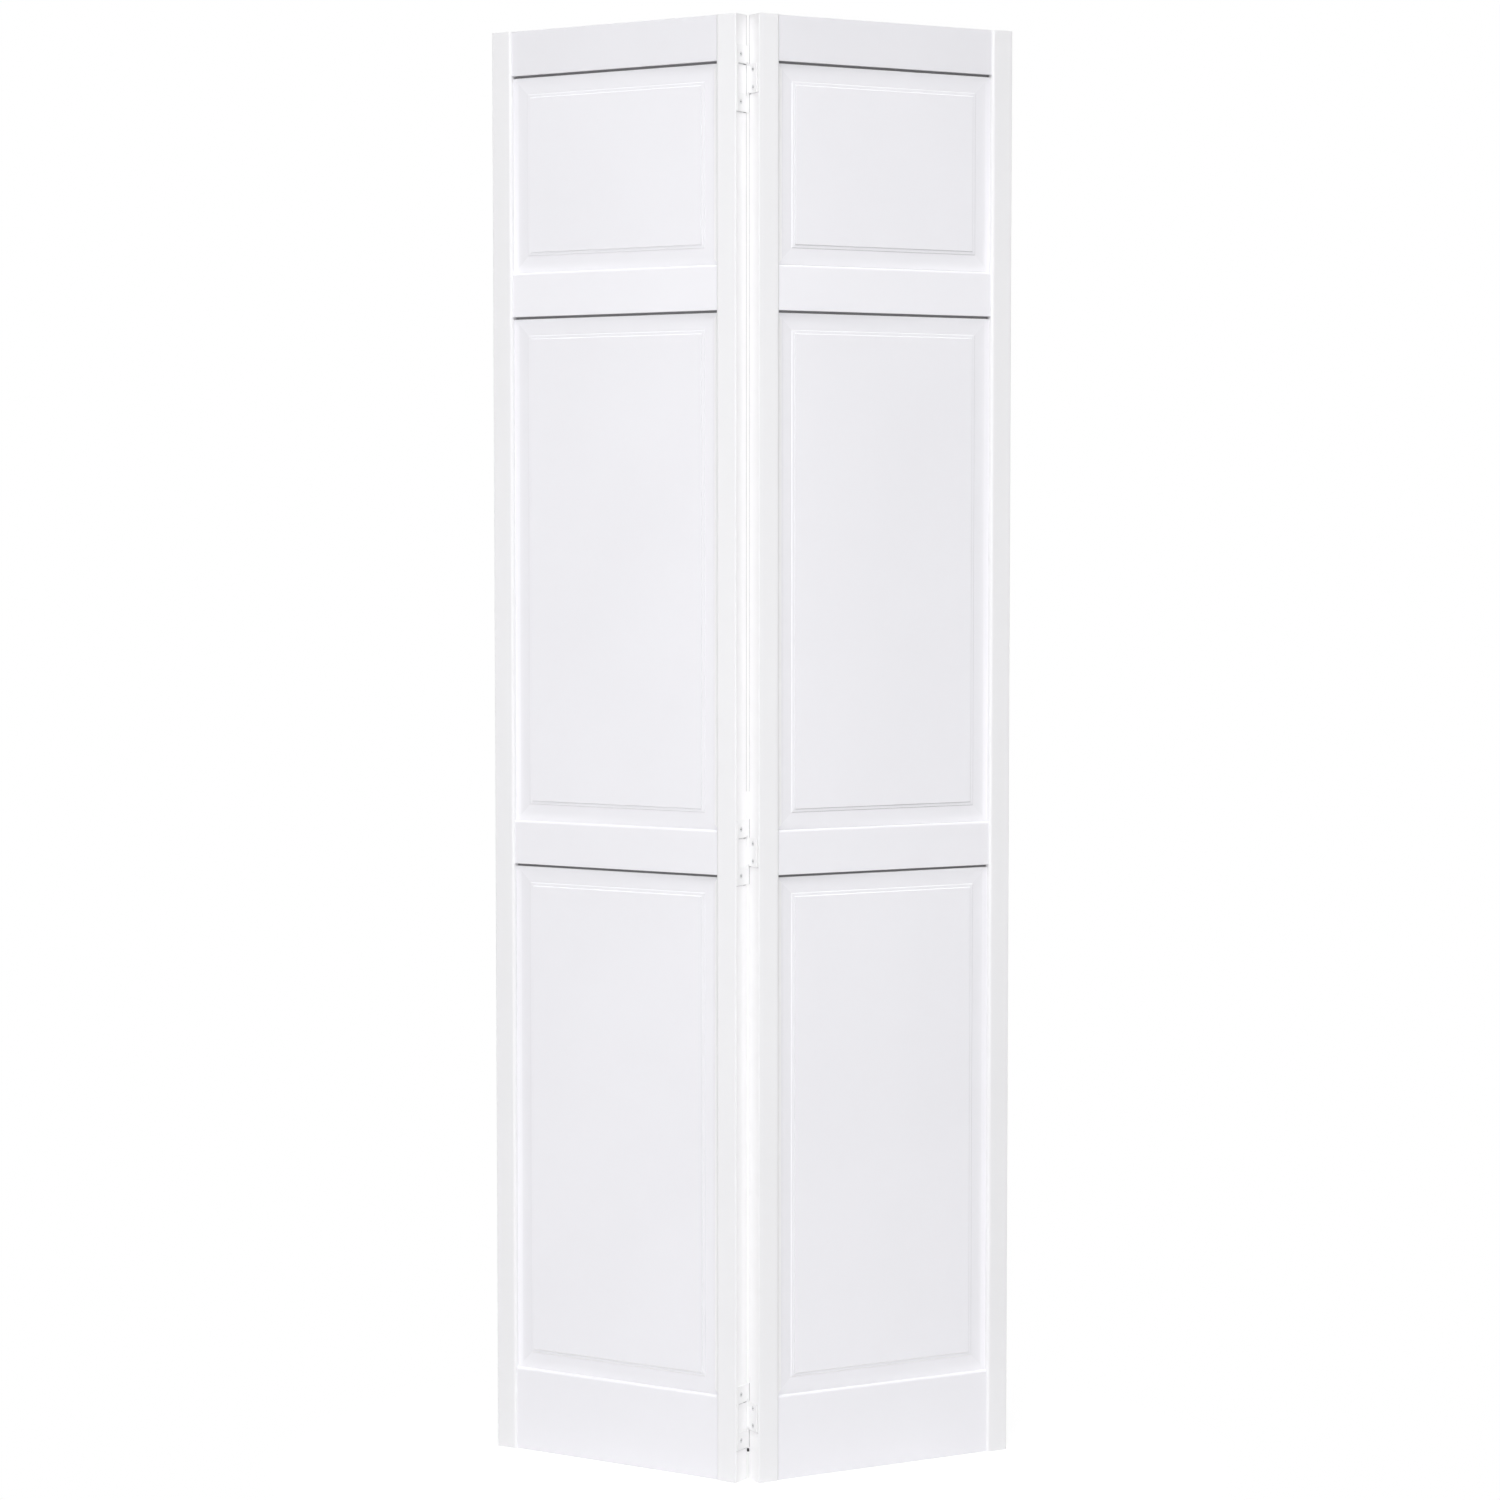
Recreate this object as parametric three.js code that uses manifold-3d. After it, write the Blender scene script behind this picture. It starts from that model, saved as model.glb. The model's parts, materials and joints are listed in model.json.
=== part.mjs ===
// Bifold closet door: two raised-panel leaves joined by three non-mortise hinges.
// Millimetres, +Z up. The fold points towards -Y, and the door stands on Z = 0.

import * as THREE from 'three';
import { mergeVertices } from 'three/addons/utils/BufferGeometryUtils.js';
import Module from 'manifold-3d';

const wasm = await Module();
wasm.setup();

// Leaves: each is 399 x 1997 mm, a pair of them fills a 32 x 80 inch opening
const DOOR_HEIGHT = 1997;
const LEAF_WIDTH = 399;
const HALF_FOLD = THREE.MathUtils.degToRad(29.6);   // how far each leaf is swung out of the flat
const HALF_GAP = 0.9;                               // leaf edge to the plane through the pin
const PIN_BEHIND = 1.5;                             // pin axis behind the leaves' back faces

// Frame of a leaf
const STILE_WIDTH = 31.75;
const STILE_THICKNESS = 28.6;
const RAIL_THICKNESS = 22.2;
const RAIL_HEIGHT = 61.5;
const BOTTOM_RAIL_HEIGHT = 117.5;
const UPPER_OPENING = 272;
const MIDDLE_OPENING = 704.5;
const FRONT_EASE = 1.5;          // rounding of a stile's front corner
const BACK_EASE = 0.5;           // rounding of its back corner
const STICKING = 4.0;            // rounding of stiles and rails where they frame a panel
const UNDER_EASE = 0.8;          // rounding of a rail's lower edge
const GROOVE_WIDTH = 6.6;
const GROOVE_DEPTH = 9;
const TENON_THICKNESS = 6;
const TENON_LENGTH = 8;
const JOINT_GAP = 0.3;

// Dowels that tie the rails to the stiles
const DOWEL_RADIUS = 4;
const DOWEL_IN_STILE = 20.5;
const DOWEL_IN_RAIL = 25;
const DOWEL_CHAMFER = 1;
const BOTTOM_DOWELS = [30, 90];  // heights of the two dowels at each end of a bottom rail
const LOCK_DOWEL = 867.4;        // level with the middle hinge, between its screws

// Raised panels: half thicknesses, and distances inwards from the shoulder
const TONGUE_HALF = 3;
const TONGUE_LENGTH = 8;
const RIM_HALF = 7.9;
const CHANNEL_HALF = 5.5;
const COVE_WIDTH = 12;
const FIELD_INSET = 22.6;
const OUTER_STEP = { rise: 0.9, run: 1.0 };
const INNER_STEP = { rise: 1.4, run: 1.1 };
const SHELF_WIDTH = 3.4;
const PANEL_SIDE_GAP = 0.4;
const PANEL_REST_GAP = 0.3;
const PANEL_TOP_GAP = 3.4;       // the panels rest at the bottom and leave a slit above them

// Hinges
const HINGE_CENTRES = { bottom: 89, middle: 867.4, top: 1911.5 };
const HINGE_LENGTH = 89;
const WINDOW_LENGTH = 40.2;
const INSET_LENGTH = 39;
const PLATE_THICKNESS = 1.2;
const PLATE_SETBACK = 1.2;       // front edge of the plates behind the leaf's front face
const STRIP_WIDTH = 3.2;         // strip that joins the frame plate's two tabs
const WINDOW_GAP = 0.6;
const NOTCH_HEIGHT = 2.4;        // notches where a plate turns into its knuckle
const NOTCH_DEPTH = 3.2;
const KNUCKLE_RADIUS = 1.85;
const PIN_RADIUS = 0.9;
const PIN_CLEARANCE = 0.3;
const PIN_HEAD_RADIUS = 1.6;
const PIN_HEAD_DOME = 0.5;
const PIN_HEAD_REACH = 0.3;
const PIN_ENDS = { bottom: 6, middle: 0.3, top: 0.3 };   // the lowest pin's end hangs out

// Countersunk screws: distances from the hinge's centre, and from the leaf's front face
const SCREW_LENGTH = 19;
const SCREW_RADIUS = 1.7;
const SCREW_HEAD_RADIUS = 3.4;
const SCREW_SUNK = 0.1;
const SCREW_CLEARANCE = 0.35;
const RECESS_LENGTH = 4.2;
const RECESS_WIDTH = 0.9;
const RECESS_DEPTH = 1.2;
const FRAME_SCREWS = { spread: 31.8, fromFront: 11.5 };
const INSET_SCREWS = { spread: 12, fromFront: 15.5 };

const OVERCUT = 1;               // how far a cutter runs past the faces that it opens
const ARC_STEPS = 5;
const EASE_STEPS = 4;
const ROUND_SEGMENTS = 16;
const DOWEL_SEGMENTS = 12;

// Faces of a leaf, measured from the pin; -Y is the front
const BACK = -PIN_BEHIND;
const FRONT = BACK - STILE_THICKNESS;
const MIDDLE = (FRONT + BACK) / 2;

const PAINT = { color: 0xeeeef2, roughness: 0.45, metalness: 0 };
const PLATE = { color: 0xf4f4f6, roughness: 0.35, metalness: 0.2 };
const STEEL = { color: 0xc8c8cc, roughness: 0.35, metalness: 0.9 };
const BARE_WOOD = { color: 0xd8b98a, roughness: 0.8, metalness: 0 };

function mesh(name, geometry, finish) {
  const item = new THREE.Mesh(geometry, new THREE.MeshStandardMaterial(finish));
  item.name = name;
  return item;
}

function solid(geometry) {
  const bare = geometry.clone();
  for (const key of Object.keys(bare.attributes)) {
    if (key !== 'position') bare.deleteAttribute(key);
  }
  const merged = mergeVertices(bare, 1e-4);
  return new wasm.Manifold(new wasm.Mesh({
    numProp: 3,
    vertProperties: new Float32Array(merged.attributes.position.array),
    triVerts: new Uint32Array(merged.index.array),
  }));
}

function surface(body) {
  const { vertProperties, triVerts } = body.getMesh();
  const geometry = new THREE.BufferGeometry();
  geometry.setAttribute('position', new THREE.BufferAttribute(vertProperties, 3));
  geometry.setIndex(new THREE.BufferAttribute(triVerts, 1));
  return geometry;
}

function cutAll(geometry, cutters) {
  return surface(cutters.reduce((body, cutter) => body.subtract(solid(cutter)), solid(geometry)));
}

function joinAll(geometries) {
  return geometries.slice(1).reduce((body, part) => body.add(solid(part)), solid(geometries[0]));
}

// A box between two corners
function block(x0, x1, y0, y1, z0, z1) {
  const box = new THREE.BoxGeometry(Math.abs(x1 - x0), y1 - y0, z1 - z0);
  return box.translate((x0 + x1) / 2, (y0 + y1) / 2, (z0 + z1) / 2);
}

// A round rod along X from one place to another
function rod(x0, x1, y, z, radius) {
  const length = Math.abs(x1 - x0);
  const cylinder = new THREE.CylinderGeometry(radius, radius, length, DOWEL_SEGMENTS);
  return cylinder.rotateZ(Math.PI / 2).translate((x0 + x1) / 2, y, z);
}

// Points of a quarter circle about a centre, from one angle to another
function arc(cx, cy, radius, from, to, steps = ARC_STEPS) {
  return Array.from({ length: steps + 1 }, (_, i) => {
    const angle = from + ((to - from) * i) / steps;
    return [cx + radius * Math.cos(angle), cy + radius * Math.sin(angle)];
  });
}

function outline(points) {
  return new THREE.Shape(points.map(([x, y]) => new THREE.Vector2(x, y)));
}

// Half of a stile's section, from the leaf's outer edge to the panel groove:
// [distance from the outer edge, height from the middle plane]
function stileHalfSection(ease) {
  const half = STILE_THICKNESS / 2;
  return [
    ...arc(ease, half - ease, ease, Math.PI, Math.PI / 2, EASE_STEPS),
    ...arc(STILE_WIDTH - STICKING, half - STICKING, STICKING, Math.PI / 2, 0),
    [STILE_WIDTH, GROOVE_WIDTH / 2],
    [STILE_WIDTH - GROOVE_DEPTH, GROOVE_WIDTH / 2],
  ];
}

// A stile stands on Z = 0 with its outer edge at edgeX; inward is +1 or -1 along X
function stileBody(edgeX, inward) {
  const back = stileHalfSection(BACK_EASE);
  const front = stileHalfSection(FRONT_EASE).map(([q, h]) => [q, -h]).reverse();
  const points = [...back, ...front].map(([q, h]) => [edgeX + inward * q, MIDDLE + h]);
  return new THREE.ExtrudeGeometry(outline(points), { depth: DOOR_HEIGHT, bevelEnabled: false });
}

// Half of a rail's section, from its bottom to its top: [height above the middle plane, z]
function railHalfSection(rail) {
  const half = RAIL_THICKNESS / 2;
  const bottom = rail.panelBelow
    ? [[GROOVE_WIDTH / 2, rail.z + GROOVE_DEPTH], [GROOVE_WIDTH / 2, rail.z]]
    : [];
  const top = rail.panelAbove
    ? [[GROOVE_WIDTH / 2, rail.top], [GROOVE_WIDTH / 2, rail.top - GROOVE_DEPTH]]
    : [];
  const rounding = rail.panelAbove ? STICKING : UNDER_EASE;
  return [
    ...bottom,
    ...arc(half - UNDER_EASE, rail.z + UNDER_EASE, UNDER_EASE, -Math.PI / 2, 0),
    ...arc(half - rounding, rail.top - rounding, rounding, 0, Math.PI / 2),
    ...top,
  ];
}

const ALONG_X = new THREE.Matrix4().makeBasis(
  new THREE.Vector3(0, 1, 0), new THREE.Vector3(0, 0, 1), new THREE.Vector3(1, 0, 0));

// A rail between two stiles, with a stub tenon at each end that fills the stile's groove
function railBody(rail, x0, x1) {
  const right = railHalfSection(rail);
  const left = right.map(([h, z]) => [-h, z]).reverse();
  const points = [...right, ...left].map(([h, z]) => [MIDDLE + h, z]);
  const bar = new THREE.ExtrudeGeometry(outline(points), { depth: x1 - x0, bevelEnabled: false });
  bar.applyMatrix4(ALONG_X).translate(x0, 0, 0);
  const tenonBottom = rail.panelBelow ? rail.z + GROOVE_DEPTH : rail.z;
  const tenonTop = rail.panelAbove ? rail.top - GROOVE_DEPTH : rail.top;
  const half = TENON_THICKNESS / 2;
  const tenon = block(x0 - TENON_LENGTH, x1 + TENON_LENGTH,
    MIDDLE - half, MIDDLE + half, tenonBottom, tenonTop);
  return surface(joinAll([bar, tenon]));
}

// Half of a panel's section from the field to the tongue's tip:
// [distance inwards from the tongue's tip, half thickness]
function panelHalfSection() {
  const shoulder = TONGUE_LENGTH;
  const rise = RIM_HALF - CHANNEL_HALF;
  const radius = (COVE_WIDTH ** 2 + rise ** 2) / (2 * rise);
  const cove = Array.from({ length: ARC_STEPS + 2 }, (_, i) => {
    const run = COVE_WIDTH * (1 - i / (ARC_STEPS + 1));
    const back = COVE_WIDTH - run;
    return [shoulder + run, CHANNEL_HALF + radius - Math.sqrt(radius ** 2 - back ** 2)];
  });
  const foot = shoulder + FIELD_INSET;
  const shelf = foot + OUTER_STEP.run;
  const shelfHalf = CHANNEL_HALF + OUTER_STEP.rise;
  const upperFoot = shelf + SHELF_WIDTH;
  return [
    [upperFoot + INNER_STEP.run, shelfHalf + INNER_STEP.rise],
    [upperFoot, shelfHalf],
    [shelf, shelfHalf],
    [foot, CHANNEL_HALF],
    ...cove,
    [shoulder, TONGUE_HALF],
    [0, TONGUE_HALF],
  ];
}

// A panel lofted through rectangles: field, steps, cove, shoulder, tongue, and back again
function panelBody(x0, x1, z0, z1) {
  const front = panelHalfSection();
  const section = [...front.map(([d, h]) => [d, -h]), ...front.reverse()];
  const positions = section.flatMap(([d, h]) => [
    [x0 + d, z0 + d], [x1 - d, z0 + d], [x1 - d, z1 - d], [x0 + d, z1 - d],
  ].flatMap(([x, z]) => [x, MIDDLE + h, z]));
  const index = [0, 1, 2, 0, 2, 3];
  for (let ring = 0; ring < section.length - 1; ring += 1) {
    for (let side = 0; side < 4; side += 1) {
      const a = ring * 4 + side;
      const b = ring * 4 + ((side + 1) % 4);
      index.push(a, a + 4, b, b, a + 4, b + 4);
    }
  }
  const last = (section.length - 1) * 4;
  index.push(last, last + 2, last + 1, last, last + 3, last + 2);
  const geometry = new THREE.BufferGeometry();
  geometry.setAttribute('position', new THREE.Float32BufferAttribute(positions, 3));
  geometry.setIndex(index);
  return geometry;
}

function revolve(points, segments = ROUND_SEGMENTS) {
  const profile = points.map(([r, y]) => new THREE.Vector2(r, y));
  return new THREE.LatheGeometry(profile, segments);
}

// A screw's outline, head up; spare widens it into the cutter for its hole
function screwShape(spare) {
  const tip = SCREW_LENGTH + spare;
  const head = SCREW_HEAD_RADIUS + spare;
  const shank = SCREW_RADIUS + spare;
  const neck = head - shank;
  const above = spare > 0 ? PLATE_THICKNESS : 0;
  const taper = spare > 0 ? 0 : 4 * SCREW_RADIUS;
  const rim = above > 0 ? [[0, above], [head, above]] : [[0, 0]];
  return revolve([
    [0, -tip],
    ...(taper > 0 ? [] : [[shank, -tip]]),
    [shank, -tip + taper],
    [shank, -neck],
    [head, 0],
    ...rim.reverse(),
  ]);
}

// Turns a shape that points up into one whose head faces the fold, on the leaf of that side
function headToFold(shape, side, headX, y, z) {
  return shape.rotateZ((side * Math.PI) / 2).translate(headX, y, z);
}

function screwPlaces(side) {
  const { spread, fromFront } = side < 0 ? FRAME_SCREWS : INSET_SCREWS;
  const headX = -side * (PLATE_THICKNESS - HALF_GAP + JOINT_GAP - SCREW_SUNK);
  return Object.entries(HINGE_CENTRES).flatMap(([level, centre]) => [
    { level, end: 'upper', x: headX, y: FRONT + fromFront, z: centre + spread },
    { level, end: 'lower', x: headX, y: FRONT + fromFront, z: centre - spread },
  ]);
}

function screwHoles(side) {
  return screwPlaces(side).map(({ x, y, z }) =>
    headToFold(screwShape(SCREW_CLEARANCE), side, x, y, z));
}

function screwBody(side, { x, y, z }) {
  const shank = screwShape(0);
  const long = RECESS_LENGTH / 2;
  const slim = RECESS_WIDTH / 2;
  const recess = [
    block(-long, long, -RECESS_DEPTH, OVERCUT, -slim, slim),
    block(-slim, slim, -RECESS_DEPTH, OVERCUT, -long, long),
  ];
  return headToFold(cutAll(shank, recess), side, x, y, z);
}

function knuckle(z0, z1) {
  const barrel = new THREE.CylinderGeometry(KNUCKLE_RADIUS, KNUCKLE_RADIUS, z1 - z0, ROUND_SEGMENTS);
  return barrel.rotateX(Math.PI / 2).translate(0, 0, (z0 + z1) / 2);
}

function pinHole(z0, z1) {
  const radius = PIN_RADIUS + PIN_CLEARANCE;
  const length = z1 - z0 + 2 * OVERCUT;
  const hole = new THREE.CylinderGeometry(radius, radius, length, ROUND_SEGMENTS);
  return hole.rotateX(Math.PI / 2).translate(0, 0, (z0 + z1) / 2);
}

// Cutters for the hollows in both fold stiles that the barrels turn in
function barrelHollows() {
  const half = HINGE_LENGTH / 2 + PIN_HEAD_REACH + PIN_HEAD_DOME + 2 * JOINT_GAP;
  const radius = KNUCKLE_RADIUS + JOINT_GAP;
  return Object.values(HINGE_CENTRES).map((centre) => {
    const hollow = new THREE.CylinderGeometry(radius, radius, 2 * half, ROUND_SEGMENTS);
    return hollow.rotateX(Math.PI / 2).translate(0, 0, centre);
  });
}

// Cutter for the notch where a plate turns into its knuckle, between two heights
function neckNotch(z0, z1) {
  const reach = KNUCKLE_RADIUS + OVERCUT;
  return block(-reach, reach, BACK - NOTCH_DEPTH, JOINT_GAP - KNUCKLE_RADIUS, z0, z1);
}

// The faces of a hinge plate on the leaf of that side
function plateFaces(side) {
  const back = side * (HALF_GAP - JOINT_GAP);
  return [back, back - side * PLATE_THICKNESS];
}

// Frame plate: two tabs with a knuckle each, joined by a strip round the window
function framePlate(side, centre) {
  const [x0, x1] = plateFaces(side);
  const half = HINGE_LENGTH / 2;
  const window = WINDOW_LENGTH / 2;
  const front = FRONT + PLATE_SETBACK;
  const body = joinAll([
    block(x0, x1, front, 0, centre - half, centre + half),
    knuckle(centre - half, centre + half),
  ]);
  const reach = KNUCKLE_RADIUS + OVERCUT;
  const cutters = [
    block(-reach, reach, front + STRIP_WIDTH, reach, centre - window, centre + window),
    neckNotch(centre - window - NOTCH_HEIGHT, centre + window + NOTCH_HEIGHT),
    pinHole(centre - half, centre + half),
    ...screwHoles(side),
  ];
  return surface(cutters.reduce((plate, cutter) => plate.subtract(solid(cutter)), body));
}

// Inset plate: one tab with one knuckle, which nests in the frame plate's window
function insetPlate(side, centre) {
  const [x0, x1] = plateFaces(side);
  const half = INSET_LENGTH / 2;
  const front = FRONT + PLATE_SETBACK + STRIP_WIDTH + WINDOW_GAP;
  const body = joinAll([
    block(x0, x1, front, 0, centre - half, centre + half),
    knuckle(centre - half, centre + half),
  ]);
  const cutters = [
    neckNotch(centre - half - OVERCUT, centre - half + NOTCH_HEIGHT),
    neckNotch(centre + half - NOTCH_HEIGHT, centre + half + OVERCUT),
    pinHole(centre - half, centre + half),
    ...screwHoles(side),
  ];
  return surface(cutters.reduce((plate, cutter) => plate.subtract(solid(cutter)), body));
}

// A pin with a low domed head at its top, and one at its bottom that hangs down by lowerReach
function hingePin(centre, lowerReach) {
  const half = HINGE_LENGTH / 2 + JOINT_GAP;
  const dome = PIN_HEAD_RADIUS / 2;
  const low = -half - lowerReach;
  const high = half + PIN_HEAD_REACH;
  const pin = revolve([
    [0, low - PIN_HEAD_DOME], [dome, low - PIN_HEAD_DOME],
    [PIN_HEAD_RADIUS, low], [PIN_HEAD_RADIUS, -half], [PIN_RADIUS, -half],
    [PIN_RADIUS, half], [PIN_HEAD_RADIUS, half], [PIN_HEAD_RADIUS, high],
    [dome, high + PIN_HEAD_DOME], [0, high + PIN_HEAD_DOME],
  ]);
  return pin.rotateX(Math.PI / 2).translate(0, 0, centre);
}

// Rails and panels of a leaf, from the floor up
const LOWER_OPENING =
  DOOR_HEIGHT - BOTTOM_RAIL_HEIGHT - 3 * RAIL_HEIGHT - MIDDLE_OPENING - UPPER_OPENING;

function layout() {
  const heights = [
    ['bottom_rail', BOTTOM_RAIL_HEIGHT], ['lower_panel', LOWER_OPENING],
    ['lock_rail', RAIL_HEIGHT], ['middle_panel', MIDDLE_OPENING],
    ['cross_rail', RAIL_HEIGHT], ['upper_panel', UPPER_OPENING],
    ['top_rail', RAIL_HEIGHT],
  ];
  let z = 0;
  return heights.map(([name, height], i) => {
    const item = {
      name, z, top: z + height, panelBelow: i > 0, panelAbove: i < heights.length - 1,
    };
    z += height;
    return item;
  });
}

function dowelHeights(rail) {
  if (rail.name === 'bottom_rail') return BOTTOM_DOWELS;
  if (rail.name === 'lock_rail') return [LOCK_DOWEL];
  return [(rail.z + rail.top) / 2];
}

// A dowel with chamfered ends, from inside the stile to inside the rail
function dowelBody(x0, x1, z) {
  const length = Math.abs(x1 - x0);
  const core = DOWEL_RADIUS - DOWEL_CHAMFER;
  const half = length / 2;
  const pin = revolve([
    [0, -half], [core, -half], [DOWEL_RADIUS, DOWEL_CHAMFER - half],
    [DOWEL_RADIUS, half - DOWEL_CHAMFER], [core, half], [0, half],
  ], DOWEL_SEGMENTS);
  return pin.rotateZ(Math.PI / 2).translate((x0 + x1) / 2, MIDDLE, z);
}

// A leaf in its own frame: the pin is at X = 0, Y = 0, and side is -1 for the left leaf
function makeLeaf(side) {
  const leaf = new THREE.Group();
  const label = side < 0 ? 'left' : 'right';
  const foldEdge = side * HALF_GAP;
  const outerEdge = side * (HALF_GAP + LEAF_WIDTH);
  const openings = [foldEdge + side * STILE_WIDTH, outerEdge - side * STILE_WIDTH];
  const [x0, x1] = [Math.min(...openings), Math.max(...openings)];
  const items = layout();
  const rails = items.filter(({ name }) => name.endsWith('rail'));
  const panels = items.filter(({ name }) => name.endsWith('panel'));

  const holes = { fold: [...screwHoles(side), ...barrelHollows()], outer: [] };
  for (const rail of rails) {
    const railHoles = [];
    const heights = dowelHeights(rail);
    for (const [end, shoulder, outward] of [
      ['fold', openings[0], -side], ['outer', openings[1], side],
    ]) {
      heights.forEach((z, i) => {
        const tip = shoulder + outward * DOWEL_IN_STILE;
        const root = shoulder - outward * DOWEL_IN_RAIL;
        const bore = rod(tip + outward * JOINT_GAP, root - outward * JOINT_GAP, MIDDLE, z,
          DOWEL_RADIUS + JOINT_GAP);
        holes[end].push(bore);
        railHoles.push(bore);
        const number = heights.length > 1 ? `_${i + 1}` : '';
        const name = `${label}_dowel_${rail.name}_${end}${number}`;
        leaf.add(mesh(name, dowelBody(tip, root, z), BARE_WOOD));
      });
    }
    const body = railBody(rail, x0 + JOINT_GAP, x1 - JOINT_GAP);
    leaf.add(mesh(`${label}_${rail.name}`, cutAll(body, railHoles), PAINT));
  }

  leaf.add(mesh(`${label}_fold_stile`, cutAll(stileBody(foldEdge, side), holes.fold), PAINT));
  leaf.add(mesh(`${label}_outer_stile`, cutAll(stileBody(outerEdge, -side), holes.outer), PAINT));

  for (const panel of panels) {
    const reach = TONGUE_LENGTH - PANEL_SIDE_GAP;
    const body = panelBody(x0 - reach, x1 + reach,
      panel.z + PANEL_REST_GAP - TONGUE_LENGTH, panel.top - PANEL_TOP_GAP + TONGUE_LENGTH);
    leaf.add(mesh(`${label}_${panel.name}`, body, PAINT));
  }

  const plate = side < 0 ? framePlate : insetPlate;
  const kind = side < 0 ? 'frame' : 'inset';
  for (const [level, centre] of Object.entries(HINGE_CENTRES)) {
    leaf.add(mesh(`${level}_hinge_${kind}_plate`, plate(side, centre), PLATE));
  }
  for (const place of screwPlaces(side)) {
    const name = `${place.level}_hinge_${kind}_screw_${place.end}`;
    leaf.add(mesh(name, screwBody(side, place), STEEL));
  }
  leaf.rotation.z = side * HALF_FOLD;
  return leaf;
}

const door = new THREE.Group();
door.add(makeLeaf(-1), makeLeaf(1));
for (const [level, centre] of Object.entries(HINGE_CENTRES)) {
  door.add(mesh(`${level}_hinge_pin`, hingePin(centre, PIN_ENDS[level]), STEEL));
}

// The origin is the centre of the door's footprint
door.updateMatrixWorld(true);
const footprint = new THREE.Box3().setFromObject(door, true);
door.position.y = -(footprint.min.y + footprint.max.y) / 2;

export default door;
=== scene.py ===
"""Dresses the bifold closet door: painted leaves, hinges and screws, in a pale studio."""

import json
import math

import bmesh
import bpy
from mathutils import Matrix, Vector

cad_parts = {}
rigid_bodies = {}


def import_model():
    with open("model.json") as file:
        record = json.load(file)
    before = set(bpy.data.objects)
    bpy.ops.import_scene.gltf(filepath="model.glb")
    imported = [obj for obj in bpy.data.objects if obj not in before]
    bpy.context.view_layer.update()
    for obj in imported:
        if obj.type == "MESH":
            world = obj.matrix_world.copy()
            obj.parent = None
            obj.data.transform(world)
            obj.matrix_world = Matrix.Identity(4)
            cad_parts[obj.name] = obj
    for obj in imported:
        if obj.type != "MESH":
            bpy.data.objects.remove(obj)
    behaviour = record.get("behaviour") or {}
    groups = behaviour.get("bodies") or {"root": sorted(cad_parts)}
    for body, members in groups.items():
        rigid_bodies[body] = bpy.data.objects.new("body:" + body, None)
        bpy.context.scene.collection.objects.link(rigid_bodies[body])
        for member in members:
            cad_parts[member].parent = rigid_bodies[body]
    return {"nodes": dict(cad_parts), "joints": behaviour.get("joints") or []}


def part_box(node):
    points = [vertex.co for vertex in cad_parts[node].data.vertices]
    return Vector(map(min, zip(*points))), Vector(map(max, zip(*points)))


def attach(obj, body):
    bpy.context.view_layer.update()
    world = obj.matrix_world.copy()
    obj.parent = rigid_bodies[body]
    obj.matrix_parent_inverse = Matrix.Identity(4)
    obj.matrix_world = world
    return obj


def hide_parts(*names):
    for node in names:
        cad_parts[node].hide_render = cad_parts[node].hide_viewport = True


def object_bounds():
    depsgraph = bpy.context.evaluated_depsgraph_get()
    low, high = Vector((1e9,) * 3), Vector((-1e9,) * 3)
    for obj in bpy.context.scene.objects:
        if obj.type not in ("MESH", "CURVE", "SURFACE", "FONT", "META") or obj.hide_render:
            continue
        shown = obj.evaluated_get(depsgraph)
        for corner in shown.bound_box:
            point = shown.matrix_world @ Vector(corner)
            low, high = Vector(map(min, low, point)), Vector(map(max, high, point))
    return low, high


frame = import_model()
cad_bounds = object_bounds()

MM = 0.001
EXACT = 0.01 * MM              # places nearer to each other than this are the same
JOINT = frame["joints"][0]
PIN = Vector(JOINT["pos_m"])
LEFT_BODY = JOINT["parent"]
RIGHT_BODY = JOINT["child"]
DOOR_HEIGHT = cad_bounds[1][2]

# Leaf, in metres: the same driving sizes as the construction
HALF_FOLD = math.radians(29.6)
LEAF_WIDTH = 399 * MM
HALF_GAP = 0.9 * MM
PIN_BEHIND = 1.5 * MM
STILE_WIDTH = 31.75 * MM
STILE_THICKNESS = 28.6 * MM
RAIL_THICKNESS = 22.2 * MM
FRONT_EASE = 1.55 * MM
BACK_EASE = 0.55 * MM
END_EASE = 0.4 * MM
UNDER_EASE = 0.8 * MM
STICKING = 4.0 * MM            # the rounded edge beside a panel
GROOVE_WIDTH = 6.6 * MM
GROOVE_DEPTH = 9 * MM
MIDDLE = -PIN_BEHIND - STILE_THICKNESS / 2
FRONT = -PIN_BEHIND - STILE_THICKNESS
PAINTED_GAP = 0.05 * MM        # what is left of a joint's gap once it is painted over

# Raised panels: half thicknesses, and distances inwards from the shoulder
PANELS = ("lower_panel", "middle_panel", "upper_panel")
TONGUE_HALF = 3 * MM
TONGUE_LENGTH = 8 * MM
RIM_HALF = 7.9 * MM
RIM_EASE = 0.25 * MM
RIM_FALL = 0.1 * RIM_EASE
CHANNEL_HALF = 5.5 * MM
COVE_WIDTH = 12 * MM
FIELD_INSET = 22.6 * MM
OUTER_RISE, OUTER_RUN = 0.9 * MM, 1.0 * MM
INNER_RISE, INNER_RUN = 1.4 * MM, 1.1 * MM
SHELF_WIDTH = 3.4 * MM
PANEL_REST_GAP = 0.3 * MM

# Hinges
HINGE_LEVELS = ("bottom", "middle", "top")
HINGE_SETBACK = 1.2 * MM
PLATE_EASE = 0.2 * MM
PIN_EASE = 0.15 * MM
BLACK_PIN_END_LENGTH = 5 * MM

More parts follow.
